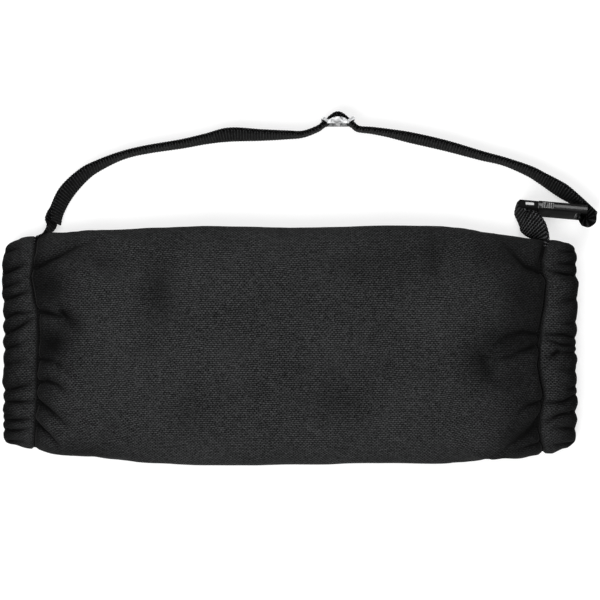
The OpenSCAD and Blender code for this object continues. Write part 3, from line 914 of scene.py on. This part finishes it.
buckleAcross = turned((0, 0, 1), buckle["yaw"], buckle["lean"])
sliderAcross = turned((0, 0, 1), 0, slider["lean"])
layerPitch = webbing["thick"] + webbing["gap"]
wrapRadius = buckle["barRadius"] + webbing["gap"] + webbing["thick"] / 2
tubeEdge = muff["width"] / 2
seamHeight = float(halfHeight(seamAt)) - muff["flatCut"]

# The middle of the belt's two layers: x, distance beyond the tube's edge, height and lean.
beltLeft = [
    (-164.6, 2.4, 17, 14), (-163.4, 11, 15.8, 21), (-156.7, 24, 14.4, 24), (-144.5, 36.6, 12.8, 18),
    (-133, 43.5, 11.8, 12), (-117.5, 50, 11.2, 7), (-101, 54, 11, 7), (-76, 58, 11, 9),
    (-59, 61.5, 11.1, 12), (-42, 64.5, 11.4, 20), (-20, 64.2, 11.5, 14), (-2, 64.3, 11.6, 8),
    (9, 64.8, 12.2, 4),
]
beltRight = [
    (58, 67.3, 12.8, 4), (70, 65.4, 12, 7), (85, 62.3, 11.6, 12), (109, 56.8, 11.4, 12),
    (134, 49.8, 11.4, 9), (151, 45.4, 11.6, 7), (168, 38.8, 12, 12), (177, 33.7, 12.4, 15),
    (186, 28.2, 13, 20), (194, 23, 13.6, 20),
]


def layerOf(stretch, offset):
    route = []
    for index, (x, y, z, lean) in enumerate(stretch):
        a = stretch[max(index - 1, 0)]
        b = stretch[min(index + 1, len(stretch) - 1)]
        yaw = math.atan2(b[1] - a[1], b[0] - a[0])
        s, c = math.sin(math.radians(lean)), math.cos(math.radians(lean))
        across = np.array([-math.sin(yaw) * s, math.cos(yaw) * s, c])
        out = np.cross(across, [math.cos(yaw), math.sin(yaw), 0])
        route.append((np.array([x, tubeEdge + y, z]) + out * offset, across))
    return route


def throughSlider(outer):
    barAt = slider["length"] / 2 - slider["bar"] / 2
    under = slider["lift"] - slider["bar"] / 2 - webbing["gap"] - webbing["thick"] / 2
    over = slider["middle"] + slider["thick"] / 2 + webbing["gap"] + webbing["thick"] / 2 + layerPitch
    hump = np.array([
        (-barAt - 4.5, under - 3.4), (-barAt - 0.4, under - 0.5), (-barAt + 2, under + 0.7),
        (-0.7 * barAt, under + 2.4), (-0.46 * barAt, over + 0.5), (-0.25 * barAt, over + 2),
        (0, over + 2.7), (0.29 * barAt, over + 1.7), (0.54 * barAt, over - 0.3), (0.73 * barAt, under + 2),
        (barAt - 1.9, under + 0.7), (barAt + 0.4, under - 0.5), (barAt + 4.5, under - 3.4),
    ])
    along = unit(np.vstack([hump[1:], hump[-1:]]) - np.vstack([hump[:1], hump[:-1]]))
    if not outer:
        hump = hump + layerPitch * np.stack([along[:, 1], -along[:, 0]], axis=1)
    return [(atSlider(x, y, 0), sliderAcross) for x, y in hump]


# Round a bar of the buckle, clockwise as seen with the width up.
def roundBar(centre, radius, angles):
    return [
        (atBuckle(centre[0] + radius * math.cos(a), centre[1] + radius * math.sin(a), 0), buckleAcross)
        for a in np.radians(angles)
    ]


def beltRoute():
    foot = [
        ((-seamAt - 1.2, -4, 0), 0), ((-seamAt - 0.2, 0.2, 0), 0), ((-seamAt + 5, 2.9, 0), 3),
        ((-seamAt + 8.6, 7, 0), 6), ((-seamAt + 10, 13, 0), 12),
    ]
    start = np.array([0, float(halfWidth(seamAt)), seamHeight])
    route = [
        (start + np.array(place) - [0, 0, drop * 0.25], np.array([-0.035 * drop, 0, 1]))
        for place, drop in foot
    ]
    route += layerOf(beltLeft, layerPitch / 2)[1:]
    route += throughSlider(True)
    route += layerOf(beltRight, layerPitch / 2)
    loose = buckle["looseOff"]
    turn = range(35, -141, -35)
    around = roundBar((rearBar + loose[0], loose[1]), wrapRadius + buckle["looseBy"], turn)
    tilt = buckle["looseTilt"]
    for (place, across), angle in zip(around, np.radians(turn)):
        right, low = max(0, math.cos(angle)), max(0, -math.sin(angle))
        route.append((place + [-1.8 * right, 1.3 * low, 0], across + [tilt * right, -2.3 * tilt * low, 0]))
    route += [
        (atBuckle(rearBar + x, y, 0), buckleAcross)
        for x, y in ((-wrapRadius - 0.2, -1), (-wrapRadius, 1.6), (-wrapRadius + 0.6, 5))
    ]
    route += layerOf(beltRight, -layerPitch / 2)[::-1]
    route += throughSlider(False)[::-1]
    route += layerOf(beltLeft, -layerPitch / 2)[::-1]
    return route


# The tab's two layers come out of the right cuff seam and turn on edge to go round the latch's bar.
tabWay = [
    ((176.8, 70.0, 18.5), (0.2, 0.15, 0.97)), ((176.6, 75.0, 18.8), (0.3, 0.2, 0.92)),
    ((173.8, 80.0, 18.0), (0.55, 0.28, 0.76)), ((170.3, 83.9, 17.0), (0.74, 0.34, 0.58)),
    ((166.8, 87.4, 16.0), (0.74, 0.32, 0.6)), ((163.8, 90.6, 15.1), (0.48, 0.16, 0.86)),
]


def tabRoute():
    def side(way):
        route = []
        for index, (place, across) in enumerate(tabWay):
            ahead = np.array(tabWay[min(index + 1, len(tabWay) - 1)][0]) - tabWay[max(index - 1, 0)][0]
            face = np.cross(across, ahead)
            face *= layerPitch / 2 / np.linalg.norm(face)
            route.append((np.array(place) - way * face, np.array(across)))
        route.append((atBuckle(latchBar + way * (wrapRadius - 0.7), -2.7, 0), buckleAcross + [0.1, 0.03, 0]))
        return route

    return side(-1) + roundBar((latchBar, 0), wrapRadius, range(180, -1, -30)) + side(1)[::-1]


# A Catmull-Rom curve through the points, with rings at even steps along it.
def smoothed(points, count=24):
    points = np.array(points, float)
    last = len(points) - 1
    made = []
    for i in range(last):
        a, b, c, d = points[max(i - 1, 0)], points[i], points[i + 1], points[min(i + 2, last)]
        bend, twist = 2 * a - 5 * b + 4 * c - d, 3 * b - a - 3 * c + d
        for s in np.arange(count) / count:
            made.append(0.5 * (2 * b + (c - a) * s + bend * s * s + twist * s ** 3))
    return np.array(made + [points[last]])


def webSection():
    r = webbing["edgeRound"]
    w, t = webbing["width"] / 2, webbing["thick"] / 2
    corner = [(w - r + r * math.cos(a), t - r + r * math.sin(a)) for a in (0.0, 0.8, math.pi / 2)]
    top = corner + [(0.5 * w, t), (0, t), (-0.5 * w, t)] + [(-u, v) for u, v in corner[::-1]]
    return np.array(top + [(-u, -v) for u, v in top])


def ribbonRings(route):
    spine = smoothed([r[0] for r in route])
    across = smoothed([r[1] for r in route])
    lengths = wayAlong(spine)
    at = np.linspace(0, lengths[-1], int(lengths[-1] / webbing["step"]) + 1)
    spine, across = (
        np.stack([np.interp(at, lengths, line[:, k]) for k in range(3)], axis=1) for line in (spine, across)
    )
    forward = unit(np.gradient(spine, axis=0))
    face = unit(np.cross(across, forward))
    wide = unit(np.cross(forward, face))
    section = webSection()
    onFace = np.sign(section[:, 1]) * (np.abs(section[:, 1]) > 0.3)
    onEdge = np.sign(section[:, 0]) * (np.abs(section[:, 0]) > webbing["width"] / 2 - 0.2)
    rib = 0.5 + 0.5 * np.cos(2 * math.pi * at / webbing["ribPitch"])
    thin = webbing["ribDepth"] * rib[:, None] * onFace
    narrow = webbing["edgeRib"] * rib[:, None] * onEdge
    rings = (
        spine[:, None, :]
        + wide[:, None, :] * (section[None, :, 0] - narrow)[..., None]
        + face[:, None, :] * (section[None, :, 1] - thin)[..., None]
    )
    return rings, at


def ribbonPiece(name, rings, at, node):
    girth = wayAlong(webSection(), closed=True)

    def cloth(j, k):
        return at[j] * mm, girth[k] * mm

    piece = ringPiece(name, rings, capped=True, uv=cloth)
    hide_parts(node)
    return piece


# The belt is cut before and after the slider, which takes the pieces between along, and once more further
# along.
beltCuts = dict(sliderReach=22.0, muffAgain=85.0, leftFrom=-62.0, pulledTo=190.0, acrossAt=140.0, level=11.5)
beltPieces = [
    "beltLeftOuter", "beltHumpOuter", "beltMidOuter", "beltLoop", "beltMidInner", "beltHumpInner", "beltTail",
]


def makeBelt():
    rings, at = ribbonRings(beltRoute())
    x = rings.mean(axis=1)[:, 0]
    beforeSlider, afterSlider = (slider["centre"][0] + way * beltCuts["sliderReach"] for way in (-1, 1))
    cuts = (beforeSlider, afterSlider, beltCuts["muffAgain"])
    stops = [i for i in range(1, len(x)) if any((x[i - 1] < cut) != (x[i] < cut) for cut in cuts)]
    stops = [0] + stops + [len(x) - 1]

    pieces = []
    for name, start, end in zip(beltPieces, stops, stops[1:]):
        piece = ribbonPiece(name, rings[start:end + 1], at[start:end + 1], "belt_webbing")
        if name in ("beltLeftOuter", "beltTail"):
            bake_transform(piece)
        elif name in ("beltMidOuter", "beltMidInner"):
            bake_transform(piece)
        elif name == "beltLoop":
            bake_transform(piece)
        else:
            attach(piece, "slider")
        pieces.append(piece)
    return pieces


def makeTab():
    rings, at = ribbonRings(tabRoute())
    piece = ribbonPiece("tabWebbing", rings, at, "tab_webbing")
    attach(piece, "muff")
    return piece


thread = dict(
    radius=0.22,
    stitches=150,        # in each cuff seam
    ends=[(-1.0, 3.4), (1.0, 3.2)],   # each end's distance from the seam and its inset
)


# Each stitch is a small closed bead from one point to another.
def makeThread(name, stitches):
    mesh = bmesh.new()
    radius = thread["radius"]
    for start, end in stitches:
        start, end = Vector(start), Vector(end)
        run = end - start
        place = Matrix.Translation((start + end) / 2 * mm) @ run.to_track_quat("Z", "Y").to_matrix().to_4x4()
        size = Vector((radius, radius, run.length / 2 + radius)) * mm
        place = place @ Matrix.Diagonal((*size, 1))
        bmesh.ops.create_uvsphere(mesh, u_segments=8, v_segments=5, radius=1, matrix=place)
    piece = pieceFrom(name, mesh)
    # painted shade for the thread in the seam
    paintShade(piece, seamShade)
    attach(piece, "muff")
    return piece


# Overcast stitches that close each cuff seam.
def seamStitches(side):
    turns, _ = evenTurns(thread["stitches"])
    ends = [clothRings(side * (seamAt + away), inset, turns) for away, inset in thread["ends"]]
    return list(zip(*ends))


# Rows of stitches along the tube, paler where they stand up, with painted shade, nearly black, in creases,
# hollows and seams.
def knitFinish(name, level, tint=0.02, row=1.35, dash=2.4, relief=0.14):
    finish = Finish(name, Roughness=0.9, Specular_IOR_Level=0.04, Sheen_Weight=0.03, Sheen_Roughness=0.5)
    along, around, _ = finish.split(finish.add("UVMap", dict(uv_map="cloth")))
    wave = finish.noise(55.0, 2.0) - 0.5
    line = around / (row * mm) + wave * 2.4
    stagger = line.maths("FLOOR", line) * 0.5
    run = along / (dash * mm) + stagger + wave * 1.3
    spot = finish.add("CombineXYZ", X=run.maths("FLOOR", run), Y=line.maths("FLOOR", line))
    each = finish.add("TexWhiteNoise", dict(noise_dimensions="2D"), Vector=spot)
    stitch = (1.0 - line.saw()) * (1.0 - run.saw() ** 3.0)
    fuzz = finish.noise(950.0, 3.0, Roughness=0.7)
    cloudy = finish.noise(22.0, 3.0)
    tone = stitch * (0.6 + each * 0.4) + (fuzz - 0.5) * 1.5 + (cloudy - 0.5) * 0.25
    # painted shade from each point's attribute
    paintedShade = finish.add("Attribute", dict(attribute_name="paintedShade"), out=2)
    cloth = finish.blend(tone, grey(level * 0.12, tint), grey(level * 3.2, tint))
    finish.set(Base_Color=finish.blend(paintedShade * 0.96, cloth, grey(level * 0.04, tint)))
    finish.bumps(stitch + fuzz * 0.8, relief * mm)
    return finish


def webbingFinish(name, bright):
    finish = Finish(name, Roughness=0.8, Specular_IOR_Level=0.04)
    along, across, _ = finish.split(finish.add("UVMap", dict(uv_map="cloth")))
    row = along / (webbing["ribPitch"] * mm)
    rib = 1.0 - row.saw()
    yarn = across / (2.3 * mm) + (row + 0.5).maths("FLOOR", row + 0.5) * 0.5
    strand = 1.0 - yarn.saw() ** 1.4
    spot = finish.add("CombineXYZ", X=row.maths("FLOOR", row), Y=yarn.maths("FLOOR", yarn))
    each = finish.add("TexWhiteNoise", dict(noise_dimensions="2D"), Vector=spot)
    fuzz = finish.noise(1300.0, 3.0)
    height = rib * (0.12 + strand * 0.88)
    tone = height ** 3.0 * (0.6 + each * 1.0) + (fuzz - 0.5) * 0.35
    finish.set(Base_Color=finish.blend(tone, grey(0.0015, 0.02), grey(bright, 0.02)))
    finish.bumps(height + fuzz * 0.3, 0.2 * mm)
    return finish


def threadFinish():
    finish = Finish("thread", Roughness=0.7, Specular_IOR_Level=0.1)
    twist = finish.noise(2500.0, 2.0)
    finish.set(Base_Color=finish.blend(twist, grey(0.004), grey(0.018)))
    finish.bumps(twist, 0.05 * mm)
    return finish


def fleeceFinish():
    finish = Finish(
        "brushedFleece", Roughness=0.95, Specular_IOR_Level=0.2, Sheen_Weight=0.5, Sheen_Roughness=0.6,
    )
    pile = finish.noise(650.0, 5.0, Roughness=0.7)
    clump = finish.noise(110.0, 2.0)
    tone = pile * 0.7 + clump * 0.3
    finish.set(Base_Color=finish.blend(tone, grey(0.012, 0.03), grey(0.06, 0.03)))
    finish.bumps(tone, 0.5 * mm)
    return finish


def fibreFinish():
    finish = Finish("fibreFill", Roughness=0.95, Specular_IOR_Level=0.2)
    tangle = finish.noise(320.0, 6.0, Roughness=0.75, Distortion=1.5)
    finish.set(Base_Color=finish.blend(tangle, grey(0.62), grey(0.88)))
    finish.bumps(tangle, 0.8 * mm)
    return finish


def elasticFinish():
    finish = Finish("wovenElastic", Roughness=0.75, Specular_IOR_Level=0.3)
    grain = finish.noise(1400.0, 2.0)
    finish.set(Base_Color=finish.blend(grain, grey(0.12), grey(0.26)))
    finish.bumps(grain, 0.1 * mm)
    return finish


# The broad faces keep the mould's matt texture, and the narrow ones are polished. Where rubbed is given, only
# the spot with that centre and half size is.
def plasticFinish(name, polish, gloss, index=1.5, rubbed=None):
    finish = Finish(name, Roughness=0.7, Specular_IOR_Level=0.03, Coat_Roughness=polish, Coat_IOR=index)
    narrow = abs(finish.split(finish.add("TexCoord", out=1))[2]) ** 3.0
    grain = finish.noise(1600.0, 2.0)
    scuff = finish.noise(90.0, 4.0)
    finish.set(Base_Color=finish.blend(scuff, grey(0.003), grey(0.009)))
    coat = narrow * gloss * (0.8 + scuff * 0.4)
    if rubbed:
        for place, middle, half in zip(finish.split(finish.coords), *rubbed):
            coat = coat * place.maths("LESS_THAN", abs(place - middle * mm), half * mm)
    finish.set(Coat_Weight=coat)
    finish.bumps(grain, 0.01 * mm)
    return finish


def metalFinish():
    finish = Finish("nickelPlate", Metallic=1.0)
    wear = finish.noise(260.0, 4.0, Distortion=1.0)
    cast = finish.noise(700.0, 2.0)
    finish.set(Base_Color=finish.blend(wear * 3.0 - 1.0, grey(0.1, 0.01), grey(0.5, 0.01)))
    finish.set(Roughness=0.34 + wear * 0.2)
    finish.bumps(cast, 0.03 * mm)
    return finish


def makeStage():
    mesh = bmesh.new()
    bmesh.ops.create_grid(mesh, x_segments=1, y_segments=1, size=3)
    floor = pieceFrom("floor", mesh)
    paper = Finish("paper", Base_Color=grey(0.5), Roughness=0.9, Specular_IOR_Level=0.2)
    # white where it is seen or mirrored, and plain paper where light falls on it
    camera, glossy, through = (
        paper.add("LightPath", out=name) for name in ("Is Camera Ray", "Is Glossy Ray", "Is Transmission Ray")
    )
    seen = camera + glossy + through
    paper.set(Emission_Color=paper.blend(seen, grey(0.0), grey(1.0)), Emission_Strength=0.6)
    paper.material.cycles.emission_sampling = "NONE"
    paper.onto(floor)


lamps = dict(
    key=dict(place=(0.15, 0.9, 2.0), size=(0.7, 1.5), power=22),
    fill=dict(place=(-0.45, -0.7, 2.0), size=(1.2, 1.2), power=37),
)
room = dict(aim=(0, 0, 0.02), strength=0.22)


def makeLight():
    world = bpy.data.worlds.new("room")
    bpy.context.scene.world = world
    world.use_nodes = True
    sky = world.node_tree.nodes["Background"]
    sky.inputs["Color"].default_value = grey(1.0)
    sky.inputs["Strength"].default_value = room["strength"]
    for name, lamp in lamps.items():
        data = bpy.data.lights.new(name, "AREA")
        data.shape = "ELLIPSE"
        data.size, data.size_y = lamp["size"]
        data.energy = lamp["power"]
        light = bpy.data.objects.new(name, data)
        light.location = lamp["place"]
        light.rotation_euler = (Vector(room["aim"]) - light.location).to_track_quat("-Z", "Y").to_euler()
        bpy.context.scene.collection.objects.link(light)


# The hard pieces keep their CAD mesh, with softened edges.
def dressNode(node, finish, edge, segments):
    piece = bpy.data.objects[node]
    for slotAt in piece.material_slots:
        slotAt.material = finish.material
    weld = piece.modifiers.new("weld", "WELD")
    weld.merge_threshold = 0.00001
    bevel = piece.modifiers.new("edges", "BEVEL")
    bevel.width = edge * mm
    bevel.segments = segments
    bevel.limit_method = "ANGLE"
    bevel.angle_limit = math.radians(32)


makeCamera()
makeStage()
makeLight()
print("stage ready")

bodyKnit = knitFinish("bodyKnit", 0.0195)
# a darker copy of the body's knit: painted shade on the cuffs
shadedCuffKnit = knitFinish("shadedCuffKnit", 0.0175)
# one webbing in two copies: painted shade on the belt and painted light on the tab
shadedBeltWeave = webbingFinish("shadedBeltWeave", 0.075)
litTabWeave = webbingFinish("litTabWeave", 0.15)
bodyKnit.onto(makeShell())
fibreFinish().onto(makePadding())
fleeceFinish().onto(makeLining())
print("padded tube ready")

for cuffName, cuffSide, cuffNode, cuffFolds, cuffSeed in (
    ("leftCuff", -1, "left_cuff", cuffLook["leftFolds"], 41),
    ("rightCuff", 1, "right_cuff", cuffLook["rightFolds"], 42),
):
    shadedCuffKnit.onto(makeCuff(cuffName, cuffSide, cuffNode, cuffFolds, cuffSeed))
shadedCuffKnit.onto(makeSeam("leftSeam", -1))
shadedCuffKnit.onto(makeSeam("rightSeam", 1))
elasticBand = elasticFinish()
elasticBand.onto(makeElastic("leftElastic", -1, "left_cuff_elastic"))
elasticBand.onto(makeElastic("rightElastic", 1, "right_cuff_elastic"))
print("cuffs ready")

for strand in makeBelt():
    shadedBeltWeave.onto(strand)
litTabWeave.onto(makeTab())
blackThread = threadFinish()
blackThread.onto(makeThread("leftSeamThread", seamStitches(-1)))
blackThread.onto(makeThread("rightSeamThread", seamStitches(1)))
print("webbing ready")

satin = plasticFinish("buckleNylon", 0.2, 0.65)
polished = plasticFinish("latchNylon", 0.08, 1.0, 1.8, rubbed=((167.2, 100.5), (2.9, 3.0)))
ribbed = plasticFinish("armNylon", 0.15, 0.8, 1.6)
for part, plastic in (
    ("buckle_receiver", satin), ("buckle_latch", polished),
    ("latch_arm_upper", ribbed), ("latch_arm_lower", ribbed),
):
    dressNode(part, plastic, edge=0.3, segments=2)
dressNode("slider", metalFinish(), edge=0.7, segments=3)
print("hardware ready")
